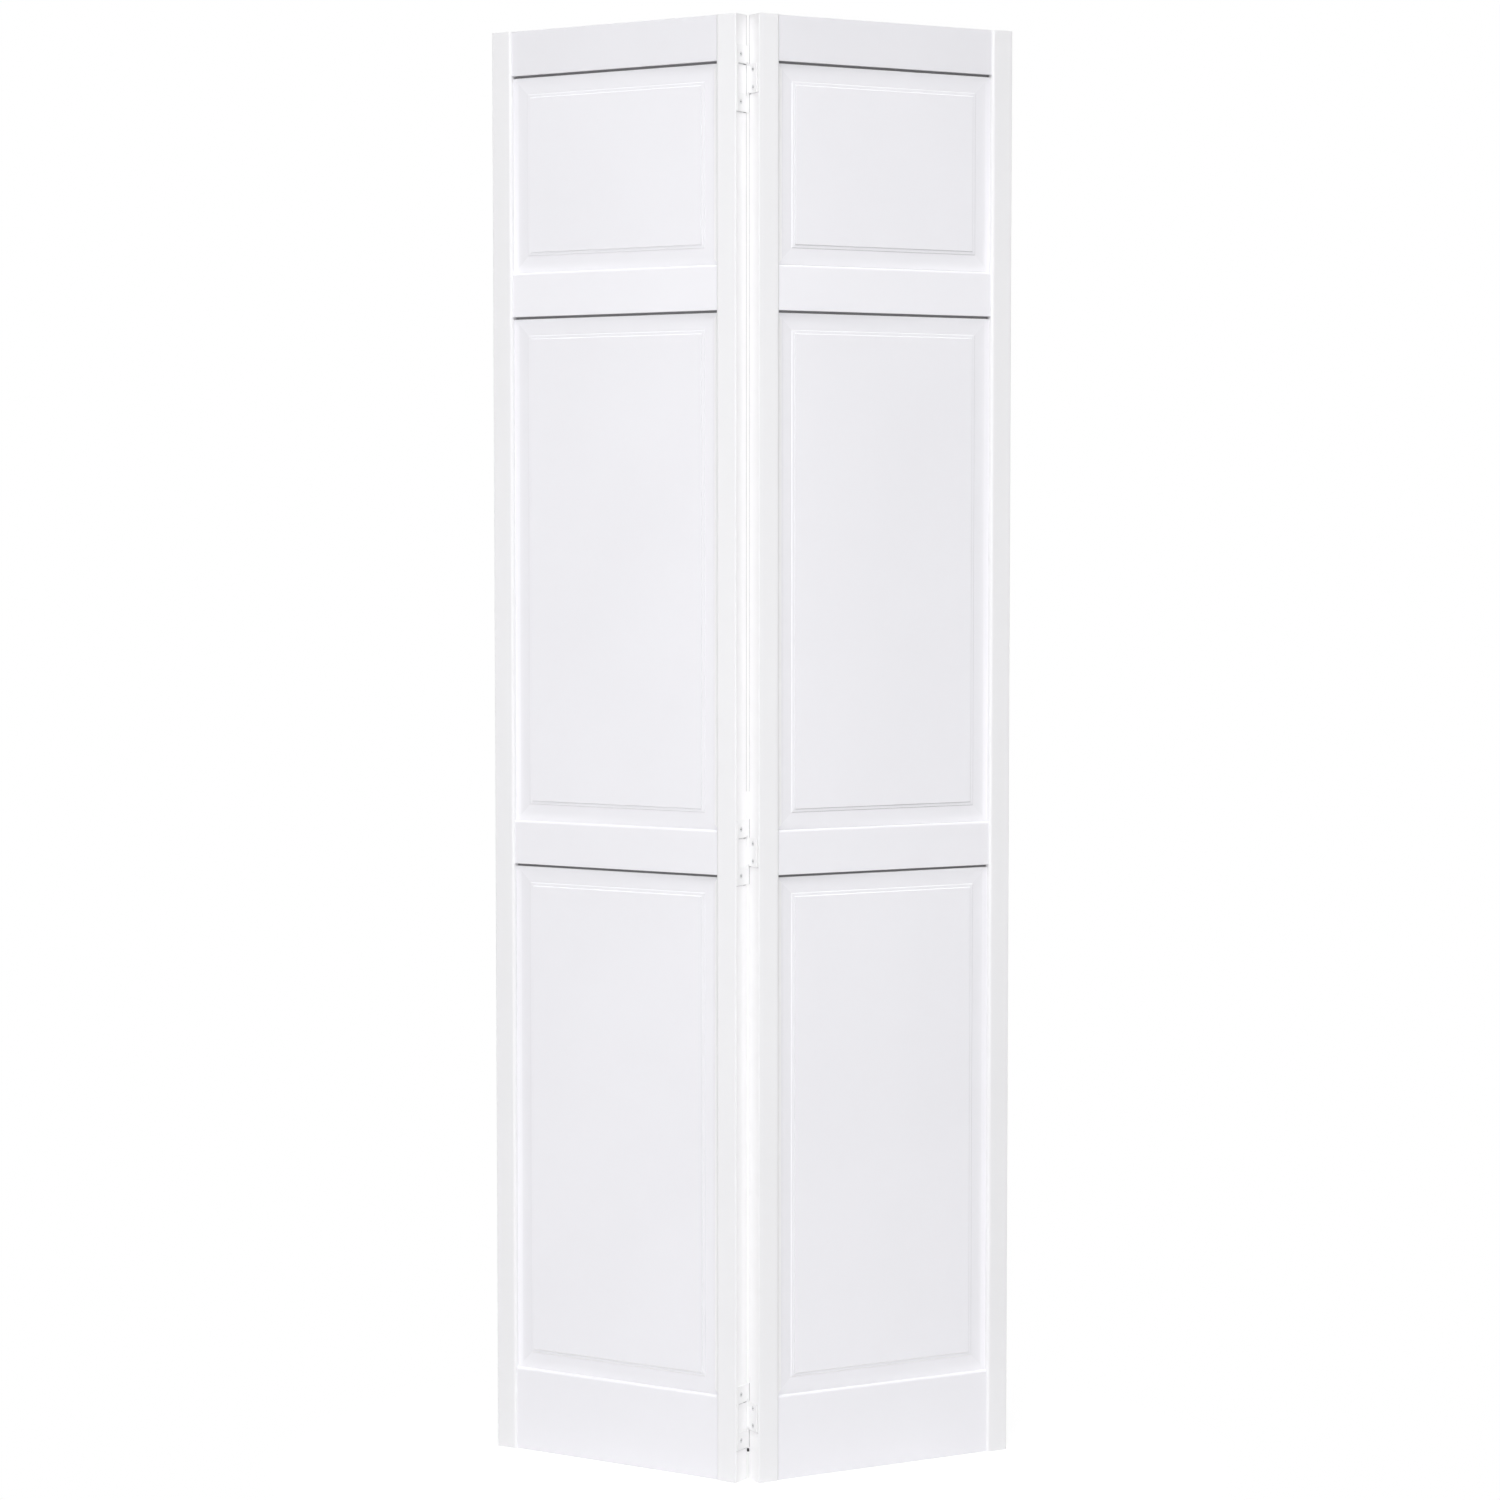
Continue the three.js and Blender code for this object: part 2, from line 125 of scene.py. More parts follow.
# Screws
SCREW_HEAD_RADIUS = 3.4 * MM
SCREW_HEAD_EDGE = 0.12 * MM
SCREW_RADIUS = 1.7 * MM
SCREW_LENGTH = 19 * MM
SCREW_TIP_LENGTH = 4 * SCREW_RADIUS
SCREW_SEGMENTS = 32
SCREW_TWIST = math.radians(37)
RECESS_REACH = 2.1 * MM
RECESS_HALF_WIDTH = 0.55 * MM
RECESS_FLOOR_REACH = 0.6 * RECESS_REACH
RECESS_FLOOR_HALF_WIDTH = 0.8 * RECESS_HALF_WIDTH
RECESS_DEPTH = 1.2 * MM

# How finely rounds are cut, and which edges are sharp or flat
FINE_ARC_STEPS = 10
CORNER_ARC_STEPS = 6
UNDER_ARC_STEPS = 4
EASE_STEPS = 2
SMOOTH_ANGLE = math.radians(32)
SHARP_ANGLE = math.radians(40)
FLAT_ANGLE = math.radians(1)

# Painted shade and shadow on the frame's paint, from 0 to 1: in the grooves, and on the fold edge
# under the hinges' tabs, at their necks, beside the barrel and along the seam
GROOVE_GREY = 0.9
LINE_GREY = {-1: 0.45, 1: 0.28}        # left and right leaf
NECK_GREY = 0.95
BARREL_GREY = 0.75
SEAM_GREY = 0.6
NECK_SHADOW_DEPTHS = {-1: (3 * MM, 9 * MM), 1: (1 * MM, 6 * MM)}    # depths in front of the back face
BARREL_SHADOW_WIDTH = 1.6 * MM
SEAM_SHADE_WIDTH = 1.4 * MM
SEAM_SHADE_START = 0.95               # the seam has painted shade from this height up
SHADOW_DROP = 1.1 * MM
SHADOW_TUCK = 0.5 * MM
MARK_FADE = 0.15 * MM
PAINTED_SHADOW_REACH = 0.5 * BACK_EASE         # how far round the fold edge's corners painted shadows go
SHADE_FREE_END = 0.8 * MM                   # no painted shade this near to the door's top and foot
EDGE_LIGHT_REACH = 0.3 * MM                   # how far round its corners a stile's edge gets painted light, a whiter colour

# How much painted shade a panel's steps, margins and hollows get, by leaf and by where they face or
# lie, as shade falls on them. Below zero it is painted light, a whiter colour.
PAINTED_SHADE_AND_LIGHT = {
    -1: {
        "fold_step": 0.22, "fold_inner_step": 0.22, "outer_step": 0.0, "upper_step": 0.0,
        "fold_margin": 0.0, "outer_margin": 0.06, "hollow": -1.0,
        "lower_step": {"upper_panel": 0.0, "middle_panel": 0.08, "lower_panel": -1.0},
    },
    1: {
        "fold_step": 0.0, "fold_inner_step": 0.2, "outer_step": 0.22, "upper_step": -0.4,
        "fold_margin": 0.05, "outer_margin": 0.04, "hollow": -1.0,
        "lower_step": {"upper_panel": 0.3, "middle_panel": 0.4, "lower_panel": -1.0},
    },
}
# How much of a face's normal lies in the leaf's plane, at least
STEP_TILT = 0.6
INNER_STEP_TILT = 0.72
HOLLOW_TILT = 0.15

# Colours, linear
WHITE_PAINT = (0.906, 0.900, 0.936)
STILE_WHITE = (0.905, 0.902, 0.918)
# How bright each rail's paint is
RAIL_TONES = {"bottom_rail": 1.0, "lock_rail": 1.0, "cross_rail": 1.03, "top_rail": 0.95}
PAINTED_LIGHT_WHITE = (0.982, 0.978, 0.988)     # painted light: a whiter colour on edges and hollows, to lift their shade
HINGE_WHITE = (0.960, 0.960, 0.966)
# the grey of painted shade and shadow
SHADE_GREY = (0.235, 0.232, 0.240)
ZINC = (0.80, 0.80, 0.81)
ZINC_METALNESS = 0.85
# painted shade on the floor of a screw's driver recess
RECESS_SHADE = (0.03, 0.03, 0.032)
# the near black of the lowest hinge pin's hanging end
PIN_END_BLACK = (0.025, 0.025, 0.027)
BARE_WOOD = (0.62, 0.44, 0.25)

# Scale of wood grain along its axis: the smaller it is, the longer the fibres
PAINTED_GRAIN_SCALE = 0.04
BARE_GRAIN_SCALE = 0.1


def leaf_matrix(side):
    """Leaf frame to row frame: the pin's axis is at X = 0, Y = 0 of the leaf, and -Y is its front."""
    return Matrix.Translation((PIN.x, PIN.y, 0)) @ Matrix.Rotation(side * HALF_FOLD, 4, "Z")


def body_of_side(side):
    return LEFT_BODY if side < 0 else RIGHT_BODY


def label_of_side(side):
    return "left" if side < 0 else "right"


def add_object(name, data):
    obj = bpy.data.objects.new(name, data)
    bpy.context.scene.collection.objects.link(obj)
    return obj


# Materials


class Nodes:
    """The shader nodes of a new material, and a few ways to add to them."""

    def __init__(self, name):
        self.material = bpy.data.materials.new(name)
        self.material.use_nodes = True
        self.tree = self.material.node_tree
        self.shader = self.tree.nodes["Principled BSDF"]

    def add(self, kind, **settings):
        node = self.tree.nodes.new(kind)
        for name, value in settings.items():
            setattr(node, name, value)
        return node

    def link(self, out, into):
        self.tree.links.new(out, into)

    def shade(self, socket, out):
        """Drives one of the shader's own sockets."""
        self.link(out, self.shader.inputs[socket])


def place_on(nodes):
    """Where a point lies on its piece, which stays the same when the piece moves."""
    return nodes.add("ShaderNodeAttribute", attribute_name="place").outputs["Vector"]


def mark_on(nodes, name):
    """The value of one of the marks that finish_mesh stores, or 0 on a piece without it."""
    return nodes.add("ShaderNodeAttribute", attribute_name=name).outputs["Fac"]


def noise(nodes, coordinates, scale, detail=3.0, roughness=0.5):
    """Noise with about this many spots to the metre."""
    node = nodes.add("ShaderNodeTexNoise")
    node.inputs["Scale"].default_value = scale
    node.inputs["Detail"].default_value = detail
    node.inputs["Roughness"].default_value = roughness
    nodes.link(coordinates, node.inputs["Vector"])
    return node.outputs["Fac"]


def stretched(nodes, coordinates, along, scale):
    """Coordinates that draw a pattern out along one axis."""
    node = nodes.add("ShaderNodeMapping")
    node.inputs["Scale"].default_value = tuple(scale if axis == along else 1.0 for axis in "XYZ")
    nodes.link(coordinates, node.inputs["Vector"])
    return node.outputs["Vector"]


def tinted(color, amount):
    return tuple(min(1.0, channel * amount) for channel in color)


def blotched(nodes, value, color, dark, bright=1.0, start=0.3, end=0.7):
    """The colour, tinted dark where a noise is below the start and bright beyond the end."""
    node = nodes.add("ShaderNodeValToRGB")
    low, high = node.color_ramp.elements
    low.position, low.color = start, (*tinted(color, dark), 1)
    high.position, high.color = end, (*tinted(color, bright), 1)
    nodes.link(value, node.inputs["Fac"])
    return node.outputs["Color"]


def roughen(nodes, value, low, high):
    """Roughness that follows a noise from low to high."""
    node = nodes.add("ShaderNodeMapRange")
    node.inputs["To Min"].default_value = low
    node.inputs["To Max"].default_value = high
    nodes.link(value, node.inputs["Value"])
    nodes.shade("Roughness", node.outputs["Result"])


def bump(nodes, height, distance, strength=0.5, below=None):
    node = nodes.add("ShaderNodeBump")
    node.inputs["Distance"].default_value = distance
    node.inputs["Strength"].default_value = strength
    nodes.link(height, node.inputs["Height"])
    if below is not None:
        nodes.link(below, node.inputs["Normal"])
    return node.outputs["Normal"]


def mixed(nodes, factor, first, second):
    """first where the factor is 0, and the colour second where it is 1."""
    node = nodes.add("ShaderNodeMix", data_type="RGBA")
    nodes.link(factor, node.inputs["Factor"])
    nodes.link(first, node.inputs["A"])
    node.inputs["B"].default_value = (*second, 1)
    return node.outputs["Result"]


def paint(name, color, grain):
    """Sprayed satin paint over wood, whose grain shows through faintly along one axis."""
    nodes = Nodes(name)
    place = place_on(nodes)
    cloud = noise(nodes, place, scale=3.2)
    tone = blotched(nodes, cloud, color, dark=0.985, bright=1.01)
    # Painted light and shade: whiter edges and hollows, painted shade on panel steps and margins, and
    # darker painted shadow in grooves and under the hinges
    tone = mixed(nodes, mark_on(nodes, "edge"), tone, PAINTED_LIGHT_WHITE)
    tone = mixed(nodes, mark_on(nodes, "painted_shade"), tone, SHADE_GREY)
    nodes.shade("Base Color", mixed(nodes, mark_on(nodes, "soil"), tone, SHADE_GREY))

    along = stretched(nodes, place, grain, PAINTED_GRAIN_SCALE)
    fibres = noise(nodes, along, scale=420, roughness=0.6)
    peel = noise(nodes, place, scale=650, detail=1.5, roughness=0.45)
    relief = bump(nodes, fibres, distance=0.035 * MM)
    nodes.shade("Normal", bump(nodes, peel, distance=0.03 * MM, below=relief))

    roughen(nodes, noise(nodes, place, scale=14), low=0.40, high=0.52)
    return nodes.material


def powder_coat(name, color):
    """White baked coat on a pressed steel plate: finer and glossier than the paint."""
    nodes = Nodes(name)
    place = place_on(nodes)
    cloud = noise(nodes, place, scale=60, detail=2.0)
    tone = blotched(nodes, cloud, color, dark=0.98)
    # Near black at the hanging end of the lowest pin
    nodes.shade("Base Color", mixed(nodes, mark_on(nodes, "bare"), tone, PIN_END_BLACK))
    pebble = noise(nodes, place, scale=1400, detail=1.0, roughness=0.4)
    nodes.shade("Normal", bump(nodes, pebble, distance=0.02 * MM))
    roughen(nodes, noise(nodes, place, scale=90, detail=2.0), low=0.28, high=0.40)
    return nodes.material


def zinc(name):
    """Bright zinc plate with a cloudy bloom; the floor of the driver recess is darkened with painted
    shade.
    """
    nodes = Nodes(name)
    bloom = noise(nodes, place_on(nodes), scale=900)
    tone = blotched(nodes, bloom, ZINC, dark=0.93)
    nodes.shade("Base Color", mixed(nodes, mark_on(nodes, "soil"), tone, RECESS_SHADE))
    nodes.shader.inputs["Metallic"].default_value = ZINC_METALNESS
    roughen(nodes, bloom, low=0.28, high=0.42)
    nodes.shade("Normal", bump(nodes, bloom, distance=0.01 * MM, strength=0.4))
    return nodes.material


def bare_wood(name):
    """Beech dowels: pale wood with short flecks along the grain."""
    nodes = Nodes(name)
    place = nodes.add("ShaderNodeTexCoord").outputs["Object"]
    along = stretched(nodes, place, "X", BARE_GRAIN_SCALE)
    grain = noise(nodes, along, scale=500, roughness=0.6)
    nodes.shade("Base Color", blotched(nodes, grain, BARE_WOOD, dark=0.8, start=0.35, end=0.65))
    roughen(nodes, grain, low=0.6, high=0.75)
    nodes.shade("Normal", bump(nodes, grain, distance=0.05 * MM))
    return nodes.material


STILE_PAINT = paint("white_paint_stile", STILE_WHITE, "Z")
RAIL_PAINTS = {
    kind: paint(f"white_paint_{kind}", tinted(WHITE_PAINT, tone), "X")
    for kind, tone in RAIL_TONES.items()
}
PANEL_PAINT = paint("white_paint_panel", WHITE_PAINT, "Z")
PLATE_COAT = powder_coat("white_hinge_coat", HINGE_WHITE)
ZINC_PLATE = zinc("zinc_screw")
DOWEL_WOOD = bare_wood("dowel_wood")


# Mesh helpers


def arc(centre, radius, start, stop, steps=FINE_ARC_STEPS):
    """Points of an arc, from one angle in degrees to another."""
    angles = [math.radians(start + (stop - start) * i / steps) for i in range(steps + 1)]
    return [(centre[0] + radius * math.cos(a), centre[1] + radius * math.sin(a)) for a in angles]


def finish_mesh(bm, name, material, matrix=None, face_marks=None, **marks):
    """Makes an object of a closed bmesh, with smooth rounds, true flats and its own coordinates.

    Each mark is a function from a place to the value that the material reads under its name, and
    each face mark is one from a face."""
    bmesh.ops.recalc_face_normals(bm, faces=bm.faces)
    mesh = bpy.data.meshes.new(name)
    bm.to_mesh(mesh)
    bm.free()
    mesh.shade_smooth()
    mesh.set_sharp_from_angle(angle=SMOOTH_ANGLE)
    place = mesh.attributes.new("place", "FLOAT_VECTOR", "POINT")
    for vertex in mesh.vertices:
        place.data[vertex.index].vector = vertex.co
    for mark, value_at in marks.items():
        layer = mesh.attributes.new(mark, "FLOAT", "POINT")
        for vertex in mesh.vertices:
            layer.data[vertex.index].value = value_at(vertex.co)
    for mark, value_of in (face_marks or {}).items():
        layer = mesh.attributes.new(mark, "FLOAT", "FACE")
        for face in mesh.polygons:
            layer.data[face.index].value = value_of(face)
    if matrix is not None:
        mesh.transform(matrix)
    mesh.materials.append(material)
    obj = add_object(name, mesh)
    weighted = obj.modifiers.new("true_flats", "WEIGHTED_NORMAL")
    weighted.mode = "FACE_AREA"
    weighted.keep_sharp = True
    return obj


def stands_for(obj, body, slot, *nodes):
    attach(obj, body)
    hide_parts(*nodes)


def bridge(bm, loops):
    """Joins each loop of vertices to the next with a band of faces."""
    for first, second in zip(loops, loops[1:]):
        for i in range(len(first)):
            j = (i + 1) % len(first)
            bm.faces.new((first[i], first[j], second[j], second[i]))


def close_tube(bm, loops):
    """Joins loops of vertices into a tube and closes both of its ends."""
    bridge(bm, loops)
    bm.faces.new(loops[0])
    bm.faces.new(loops[-1])


def along_x(a, b, place):
    return (place, a, b)


def along_z(a, b, place):
    return (a, b, place)


def prism(bm, section, to_point, start, stop, ease=0.0, between=()):
    """Sweeps a closed section along one axis, with loops at the places between its ends.

    The edges of its ends may be rounded over."""
    steps = range(EASE_STEPS + 1) if ease else (EASE_STEPS,)
    rings = []
    for i in steps:
        angle = math.pi / 2 * i / EASE_STEPS
        inner = shrunk(section, ease * (1 - math.sin(angle)))
        rings.append((inner, ease * (1 - math.cos(angle))))
    near = [[to_point(a, b, start + depth) for a, b in ring] for ring, depth in rings]
    far = [[to_point(a, b, stop - depth) for a, b in ring] for ring, depth in reversed(rings)]
    middle = [[to_point(a, b, place) for a, b in section] for place in between]
    close_tube(bm, [[bm.verts.new(point) for point in ring] for ring in near + middle + far])


def shrunk(section, distance):
    """The section with every side moved inwards by the distance."""
    area = sum(a[0] * b[1] - b[0] * a[1] for a, b in zip(section, section[1:] + section[:1]))
    turn = distance if area > 0 else -distance
    points = []
    for before, point, after in zip(section[-1:] + section[:-1], section, section[1:] + section[:1]):
        first = (Vector(point) - Vector(before)).normalized()
        second = (Vector(after) - Vector(point)).normalized()
        inwards = Vector((-first.y - second.y, first.x + second.x))
        scale = turn * 2 / inwards.length_squared
        points.append((point[0] + inwards.x * scale, point[1] + inwards.y * scale))
    return points


# Stiles


def stile_section(edge_x, inward, stops):
    """Section of a stile: eased outer corners, rounded sticking, and the panel groove.

    Stops are extra points on the outer edge, as depths along the leaf's Y."""
    half = STILE_THICKNESS / 2

    def half_section(ease):
        return [
            *arc((ease, half - ease), ease, 180, 90, CORNER_ARC_STEPS),
            *arc((STILE_WIDTH - STICKING, half - STICKING), STICKING, 90, 0),
            (STILE_WIDTH, GROOVE_WIDTH / 2),
            (STILE_WIDTH - GROOVE_DEPTH, GROOVE_WIDTH / 2),
        ]

    back = half_section(BACK_EASE)
    front = [(q, -h) for q, h in reversed(half_section(FRONT_EASE))]
    on_edge = [(0, y - MIDDLE) for y in stops]
    return [(edge_x + inward * q, MIDDLE + h) for q, h in back + front + on_edge]


def hinge_shadows(side):
    """Boxes (y range, z range, depth of grey) of painted shadow on a leaf's fold edge, where a hinge
    shades it.
    """
    back, front = -PIN_BEHIND, FRONT + HINGE_SETBACK
    neck = [back - depth for depth in reversed(NECK_SHADOW_DEPTHS[side])]
    shadow_boxes = [((back - SEAM_SHADE_WIDTH, back), (SEAM_SHADE_START, DOOR_HEIGHT), SEAM_GREY)]
    for level in HINGE_LEVELS:
        frame_low, frame_high = (c.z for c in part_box(f"{level}_hinge_frame_plate"))
        inset_low, inset_high = (c.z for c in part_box(f"{level}_hinge_inset_plate"))
        for end in (frame_low, inset_high) if side < 0 else (inset_low,):
            below = (end - SHADOW_DROP, end + SHADOW_TUCK)
            shadow_boxes += [((front, back), below, LINE_GREY[side]), (neck, below, NECK_GREY)]
        if side > 0:
            for span in ((frame_low, inset_low), (inset_high, frame_high)):
                shadow_boxes.append(((back - BARREL_SHADOW_WIDTH, back), span, BARREL_GREY))
    return shadow_boxes


def painted_shadow_at(shadow_boxes, co):
    """The darkest painted shadow over a place."""
    inside = [
        depth for (y0, y1), (z0, z1), depth in shadow_boxes if y0 < co.y < y1 and z0 < co.z < z1
    ]
    return max(inside, default=0.0)


def both_sides(places, low, high):
    """Two places just before and after each given one, in order, if they lie between the limits."""
    turned = {place + turn * MARK_FADE for place in places for turn in (-1, 1)}
    return sorted(place for place in turned if low + EXACT < place < high - EXACT)


def make_stile(side, kind):
    """A stile with extra rings and edge points wherever its painted shade starts and ends."""
    if kind == "fold":
        edge, inward, shadow_boxes = side * HALF_GAP, side, hinge_shadows(side)
    else:
        edge, inward, shadow_boxes = side * (HALF_GAP + LEAF_WIDTH), -side, []
    shadow_depths = [y for depth_range, _, _ in shadow_boxes for y in depth_range]
    shadow_heights = [z for _, height_range, _ in shadow_boxes for z in height_range]
    depths = both_sides(shadow_depths, FRONT + FRONT_EASE, -PIN_BEHIND - BACK_EASE)
    shaded_span = (SHADE_FREE_END, DOOR_HEIGHT - SHADE_FREE_END)
    heights = both_sides([*shaded_span, *shadow_heights], END_EASE, DOOR_HEIGHT - END_EASE)
    bm = bmesh.new()
    section = stile_section(edge, inward, depths)
    prism(bm, section, along_z, 0, DOOR_HEIGHT, END_EASE, heights)

    # Painted shade in the groove, and painted shadow under the hinges and along the seam
    def soil(co):
        from_edge = abs(co.x - edge)
        if not shaded_span[0] < co.z < shaded_span[1]:
            return 0.0
        if abs(from_edge - (STILE_WIDTH - GROOVE_DEPTH)) < EXACT:
            return GROOVE_GREY
        return painted_shadow_at(shadow_boxes, co) if from_edge <= PAINTED_SHADOW_REACH else 0.0

    # Painted light: the fold stile's sticking and each stile's edge are made whiter, to lift the
    # shade on them
    def painted_light_on_edge(co):
        from_edge = abs(co.x - edge)
        if kind == "fold" and from_edge > STILE_WIDTH - STICKING:
            return (from_edge - STILE_WIDTH + STICKING) / STICKING
        return 1.0 if from_edge < EDGE_LIGHT_REACH else 0.0

    name = f"{label_of_side(side)}_{kind}_stile"
    obj = finish_mesh(
        bm, f"{name}_painted", STILE_PAINT, leaf_matrix(side), soil=soil, edge=painted_light_on_edge)
    stands_for(obj, body_of_side(side), "painted_frame", name)


# Rails


def rail_section(low, high, panel_below, panel_above):
    """Section of a rail as (height above the middle plane, z), with its grooves."""
    half = RAIL_THICKNESS / 2
    rounding = STICKING if panel_above else UNDER_EASE
    right = [
        *arc((half - UNDER_EASE, low + UNDER_EASE), UNDER_EASE, -90, 0, UNDER_ARC_STEPS),
        *arc((half - rounding, high - rounding), rounding, 0, 90),
    ]
    if panel_below:
        right = [(GROOVE_WIDTH / 2, low + GROOVE_DEPTH), (GROOVE_WIDTH / 2, low), *right]
    if panel_above:
        right = [*right, (GROOVE_WIDTH / 2, high), (GROOVE_WIDTH / 2, high - GROOVE_DEPTH)]
    left = [(-h, z) for h, z in reversed(right)]
    return [(MIDDLE + h, z) for h, z in right + left]


def tenon_section(low, high):
    half = GROOVE_WIDTH / 2 - PAINTED_GAP
    return [(MIDDLE - half, low), (MIDDLE + half, low), (MIDDLE + half, high), (MIDDLE - half, high)]


# Painted shade in a rail's grooves, where the slit beside a panel lies in shadow
def rail_soil(co):
    in_groove = abs(co.y - MIDDLE) < GROOVE_WIDTH / 2 + EXACT
    at_door_end = not SHADE_FREE_END < co.z < DOOR_HEIGHT - SHADE_FREE_END
    return GROOVE_GREY if in_groove and not at_door_end else 0.0


def make_rail(side, kind):
    """A rail with a tenon at each end, which fills the stile's groove."""
    name = f"{label_of_side(side)}_{kind}"
    low, high = (corner.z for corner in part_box(name))
    panel_below = kind != "bottom_rail"
    panel_above = kind != "top_rail"
    shoulder = STILE_WIDTH + PAINTED_GAP
    ends = (HALF_GAP + shoulder, HALF_GAP + LEAF_WIDTH - shoulder)
    x0, x1 = sorted(side * end for end in ends)
    bm = bmesh.new()
    prism(bm, rail_section(low, high, panel_below, panel_above), along_x, x0, x1)
    tenon_low = low + GROOVE_DEPTH if panel_below else low
    tenon_high = high - GROOVE_DEPTH if panel_above else high
    tenon = tenon_section(tenon_low, tenon_high)
    prism(bm, tenon, along_x, x0 - GROOVE_DEPTH, x0)
    prism(bm, tenon, along_x, x1, x1 + GROOVE_DEPTH)
    obj = finish_mesh(bm, f"{name}_painted", RAIL_PAINTS[kind], leaf_matrix(side), soil=rail_soil)
    stands_for(obj, body_of_side(side), "painted_frame", name)


# Panels


def panel_section():
    """Half of a panel's section from the field to the tongue's tip: (inset, half thickness)."""
    shoulder = TONGUE_LENGTH
    rise = RIM_HALF - CHANNEL_HALF
    radius = (COVE_WIDTH**2 + rise**2) / (2 * rise)
    steps = 2 * FINE_ARC_STEPS
    cove = []
    for i in range(steps + 1):
        back = COVE_WIDTH * i / steps
        height = CHANNEL_HALF + radius - math.sqrt(radius**2 - back**2)
        cove.append((shoulder + COVE_WIDTH - back, height))
    foot = shoulder + FIELD_INSET
    shelf = foot + OUTER_RUN
    shelf_half = CHANNEL_HALF + OUTER_RISE
    upper_foot = shelf + SHELF_WIDTH
    rim = cove.pop()
    return [
        (upper_foot + INNER_RUN, shelf_half + INNER_RISE),
        (upper_foot, shelf_half),
        (shelf, shelf_half),
        (foot, CHANNEL_HALF),
        *cove,
        (rim[0] + RIM_EASE, rim[1] - RIM_FALL),
        (rim[0], rim[1] - RIM_EASE),
        (shoulder, TONGUE_HALF),
        (0, TONGUE_HALF),
    ]


def panel_painted_shade(side, kind, face):
    """How much painted shade a face of a panel gets, from its normal and place in the leaf; below
    zero, painted light.
    """
    painted_shade = PAINTED_SHADE_AND_LIGHT[side]
    outwards, upwards = side * face.normal.x, face.normal.z
    if upwards < -STEP_TILT:
        return painted_shade["lower_step"][kind]
    if upwards > STEP_TILT:
        return painted_shade["upper_step"]
    if outwards > STEP_TILT:
        return painted_shade["outer_step"]
    if outwards < -STEP_TILT:
        return painted_shade["fold_inner_step" if outwards < -INNER_STEP_TILT else "fold_step"]
    if outwards > HOLLOW_TILT:
        return painted_shade["hollow"]
    from_stile = side * face.center.x - HALF_GAP - STILE_WIDTH
    opening = LEAF_WIDTH - 2 * STILE_WIDTH
    if from_stile < FIELD_INSET:
        return painted_shade["fold_margin"]
    if from_stile > opening - FIELD_INSET and outwards > -HOLLOW_TILT:
        return painted_shade["outer_margin"]
    return 0.0


# Painted shade on a panel's tongue, in the slit beside rails and stiles
def panel_soil(co):
    return GROOVE_GREY if abs(co.y - MIDDLE) < TONGUE_HALF + EXACT else 0.0


def make_panel(side, kind):
    """A raised panel: its section drawn in on all four sides, with mitred corners."""
    name = f"{label_of_side(side)}_{kind}"
    low, high = (corner.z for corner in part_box(name))
    low -= PANEL_REST_GAP - PAINTED_GAP
    reach = TONGUE_LENGTH - PAINTED_GAP
    ends = (HALF_GAP + STILE_WIDTH - reach, HALF_GAP + LEAF_WIDTH - STILE_WIDTH + reach)
    x0, x1 = sorted(side * end for end in ends)
    half = panel_section()
    section = [(d, -h) for d, h in half] + [(d, h) for d, h in reversed(half)]
    bm = bmesh.new()
    rings = []
    for d, h in section:
        corners = ((x0 + d, low + d), (x1 - d, low + d), (x1 - d, high - d), (x0 + d, high - d))
        rings.append([bm.verts.new((x, MIDDLE + h, z)) for x, z in corners])
    close_tube(bm, rings)
    # Painted shade on faces that look down or away from the lamps, and painted light on hollows and
    # some steps
    face_marks = {
        "painted_shade": lambda face: max(panel_painted_shade(side, kind, face), 0.0),
        "edge": lambda face: max(-panel_painted_shade(side, kind, face), 0.0),
    }
    obj = finish_mesh(
        bm, f"{name}_painted", PANEL_PAINT, leaf_matrix(side), face_marks, soil=panel_soil)
    stands_for(obj, body_of_side(side), "painted_panel", name)


# Hinges


def make_coated(node_name, slot, body, ease, cuts=(), **marks):
    """A copy of a CAD node with its sharp edges rounded, which stands for that node.

    Cuts are heights at which its faces are split, so that a mark can start there."""
    bm = bmesh.new()
    bm.from_mesh(frame["nodes"][node_name].data)
    bmesh.ops.remove_doubles(bm, verts=bm.verts, dist=EXACT)
    bmesh.ops.dissolve_limit(bm, angle_limit=FLAT_ANGLE, verts=bm.verts, edges=bm.edges)
    sharp = [
        edge for edge in bm.edges if edge.is_manifold and edge.calc_face_angle() > SHARP_ANGLE
    ]
    bmesh.ops.bevel(
        bm, geom=sharp, offset=ease, segments=EASE_STEPS, affect="EDGES", profile=0.5,
        clamp_overlap=True)
    for height in cuts:
        everything = [*bm.verts, *bm.edges, *bm.faces]
        bmesh.ops.bisect_plane(bm, geom=everything, plane_co=(0, 0, height), plane_no=(0, 0, 1))
    obj = finish_mesh(bm, f"{node_name}_coated", PLATE_COAT, **marks)
    stands_for(obj, body, slot, node_name)


def make_pin(level):
    """A hinge pin; the lowest one's end hangs out of its barrel and is coloured near black."""
    name = f"{level}_hinge_pin"
    coat_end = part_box(name)[0].z + BLACK_PIN_END_LENGTH
    cuts = (coat_end, coat_end + MARK_FADE) if level == "bottom" else ()

    def bare(co):
        return 1.0 if cuts and co.z < coat_end + EXACT else 0.0

    make_coated(name, "hinge_pin", LEFT_BODY, PIN_EASE, cuts=cuts, bare=bare)


# Screws


def cross_outline(reach, half_width):
    """The twelve corners of a cross whose arms reach this far from its middle."""
    quarter = [(reach, -half_width), (reach, half_width), (half_width, half_width)]
    turns = [Matrix.Rotation(math.radians(90 * i), 2) for i in range(4)]
    return [tuple(turn @ Vector(point)) for turn in turns for point in quarter]


